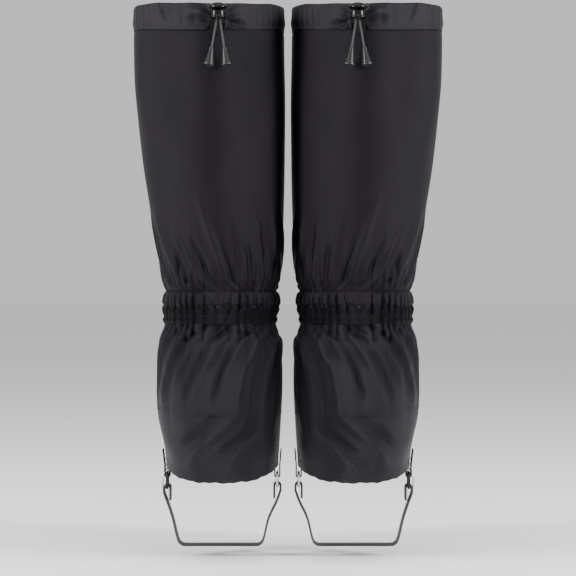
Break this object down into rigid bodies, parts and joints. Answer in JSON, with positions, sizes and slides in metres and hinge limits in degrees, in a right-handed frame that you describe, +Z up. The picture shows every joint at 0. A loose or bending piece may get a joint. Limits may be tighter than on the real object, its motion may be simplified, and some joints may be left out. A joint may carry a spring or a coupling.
{
  "type": "pair of gaiters",
  "caption": "Pair of calf-length gaiters with drawcord tops, gathered ankles, front flaps, textured boot panels and underfoot straps.",
  "frame": {"origin": "on the ground the boots stand on, midway between the two boots' centre lines", "axes": "+Z up, +Y towards the toes, +X towards the wearer's right"},
  "size_m": [0.299, 0.2176, 0.523],
  "materials": {
    "laminate": "smooth laminated face fabric, satin",
    "ballistic": "coarse textured weave, matt with a slight sheen",
    "elastic": "ribbed elastic",
    "hook_and_loop": "hook and loop tape, matt",
    "webbing": "woven webbing, matt",
    "cord": "braided cord",
    "gloss_plastic": "glossy moulded",
    "pull_plastic": "semi-matt moulded",
    "steel": "nickel plated",
    "black_metal": "black, semi-gloss",
    "strap": "coated strap, matt"
  },
  "bodies": {
    "root": {"left_leg_panel": "laminate", "left_top_hem": "laminate", "left_ankle_band": "ballistic", "left_ankle_elastic": "elastic", "left_boot_panel": "ballistic", "left_kick_panel": "ballistic", "left_loop_tape": "hook_and_loop", "left_top_snap_stud": "steel", "left_bottom_snap_stud": "steel", "left_outer_drawcord": "cord", "left_inner_drawcord": "cord", "left_outer_tab": "webbing", "left_inner_tab": "webbing", "right_leg_panel": "laminate", "right_top_hem": "laminate", "right_ankle_band": "ballistic", "right_ankle_elastic": "elastic", "right_boot_panel": "ballistic", "right_kick_panel": "ballistic", "right_loop_tape": "hook_and_loop", "right_top_snap_stud": "steel", "right_bottom_snap_stud": "steel", "right_outer_drawcord": "cord", "right_inner_drawcord": "cord", "right_outer_tab": "webbing", "right_inner_tab": "webbing"},
    "left_upper_flap": {"left_upper_flap": "laminate", "left_hook_tape": "hook_and_loop", "left_top_snap_cap": "black_metal"},
    "left_lower_flap": {"left_lower_flap": "ballistic", "left_bottom_snap_cap": "black_metal", "left_lace_hook": "steel"},
    "left_cord_lock": {"left_cord_lock_body": "gloss_plastic", "left_cord_lock_spring": "steel"},
    "left_cord_lock_button": {"left_cord_lock_button": "gloss_plastic"},
    "left_outer_cord_end": {"left_outer_cord_end": "cord", "left_outer_cord_pull": "pull_plastic"},
    "left_inner_cord_end": {"left_inner_cord_end": "cord", "left_inner_cord_pull": "pull_plastic"},
    "left_strap": {"left_inner_ring": "steel", "left_buckle_frame": "black_metal", "left_underfoot_strap": "strap"},
    "left_buckle_prong": {"left_buckle_prong": "steel"},
    "right_upper_flap": {"right_upper_flap": "laminate", "right_hook_tape": "hook_and_loop", "right_top_snap_cap": "black_metal"},
    "right_lower_flap": {"right_lower_flap": "ballistic", "right_bottom_snap_cap": "black_metal", "right_lace_hook": "steel"},
    "right_cord_lock": {"right_cord_lock_body": "gloss_plastic", "right_cord_lock_spring": "steel"},
    "right_cord_lock_button": {"right_cord_lock_button": "gloss_plastic"},
    "right_outer_cord_end": {"right_outer_cord_end": "cord", "right_outer_cord_pull": "pull_plastic"},
    "right_inner_cord_end": {"right_inner_cord_end": "cord", "right_inner_cord_pull": "pull_plastic"},
    "right_strap": {"right_inner_ring": "steel", "right_buckle_frame": "black_metal", "right_underfoot_strap": "strap"},
    "right_buckle_prong": {"right_buckle_prong": "steel"}
  },
  "joints": [
    {"name": "left_upper_flap_hinge", "type": "hinge", "parent": "root", "child": "left_upper_flap", "pos_m": [-0.05017, 0.06634, 0.529], "axis": [0.0162, -0.032, -0.9994], "range_deg": [0, 115]},
    {"name": "left_lower_flap_hinge", "type": "hinge", "parent": "root", "child": "left_lower_flap", "pos_m": [-0.04581, 0.05775, 0.246], "axis": [0.008, 0.3598, -0.933], "range_deg": [0, 100]},
    {"name": "left_cord_lock_slide", "type": "slide", "parent": "root", "child": "left_cord_lock", "axis": [0, 0, -1], "range_m": [0, 0.008], "deforming": ["left_outer_drawcord", "left_inner_drawcord"]},
    {"name": "left_cord_lock_press", "type": "slide", "parent": "left_cord_lock", "child": "left_cord_lock_button", "axis": [0, 0, -1], "range_m": [0, 0.0024], "stiffness_N_per_m": 800, "springref_m": -0.0005, "deforming": ["left_cord_lock_spring"]},
    {"name": "left_outer_cord_swing", "type": "hinge", "parent": "left_cord_lock", "child": "left_outer_cord_end", "pos_m": [-0.06655, -0.07027, 0.5129], "axis": [-1, 0, 0], "range_deg": [0, 75]},
    {"name": "left_inner_cord_swing", "type": "hinge", "parent": "left_cord_lock", "child": "left_inner_cord_end", "pos_m": [-0.06305, -0.07027, 0.5129], "axis": [-1, 0, 0], "range_deg": [0, 75]},
    {"name": "left_strap_swing", "type": "hinge", "parent": "root", "child": "left_strap", "pos_m": [-0.0645, 0.03, 0.083], "axis": [1, 0, 0], "range_deg": [-22, 22]},
    {"name": "left_prong_hinge", "type": "hinge", "parent": "left_strap", "child": "left_buckle_prong", "pos_m": [-0.1185, 0.03, 0.083], "axis": [0, 1, 0], "range_deg": [0, 60]},
    {"name": "right_upper_flap_hinge", "type": "hinge", "parent": "root", "child": "right_upper_flap", "pos_m": [0.05017, 0.06634, 0.529], "axis": [0.0162, 0.032, 0.9994], "range_deg": [0, 115]},
    {"name": "right_lower_flap_hinge", "type": "hinge", "parent": "root", "child": "right_lower_flap", "pos_m": [0.04581, 0.05775, 0.246], "axis": [0.008, -0.3598, 0.933], "range_deg": [0, 100]},
    {"name": "right_cord_lock_slide", "type": "slide", "parent": "root", "child": "right_cord_lock", "axis": [0, 0, -1], "range_m": [0, 0.008], "deforming": ["right_outer_drawcord", "right_inner_drawcord"]},
    {"name": "right_cord_lock_press", "type": "slide", "parent": "right_cord_lock", "child": "right_cord_lock_button", "axis": [0, 0, -1], "range_m": [0, 0.0024], "stiffness_N_per_m": 800, "springref_m": -0.0005, "deforming": ["right_cord_lock_spring"]},
    {"name": "right_outer_cord_swing", "type": "hinge", "parent": "right_cord_lock", "child": "right_outer_cord_end", "pos_m": [0.06655, -0.07027, 0.5129], "axis": [-1, 0, 0], "range_deg": [0, 75]},
    {"name": "right_inner_cord_swing", "type": "hinge", "parent": "right_cord_lock", "child": "right_inner_cord_end", "pos_m": [0.06305, -0.07027, 0.5129], "axis": [-1, 0, 0], "range_deg": [0, 75]},
    {"name": "right_strap_swing", "type": "hinge", "parent": "root", "child": "right_strap", "pos_m": [0.0645, 0.03, 0.083], "axis": [1, 0, 0], "range_deg": [-22, 22]},
    {"name": "right_prong_hinge", "type": "hinge", "parent": "right_strap", "child": "right_buckle_prong", "pos_m": [0.1185, 0.03, 0.083], "axis": [0, -1, 0], "range_deg": [0, 60]}
  ]
}
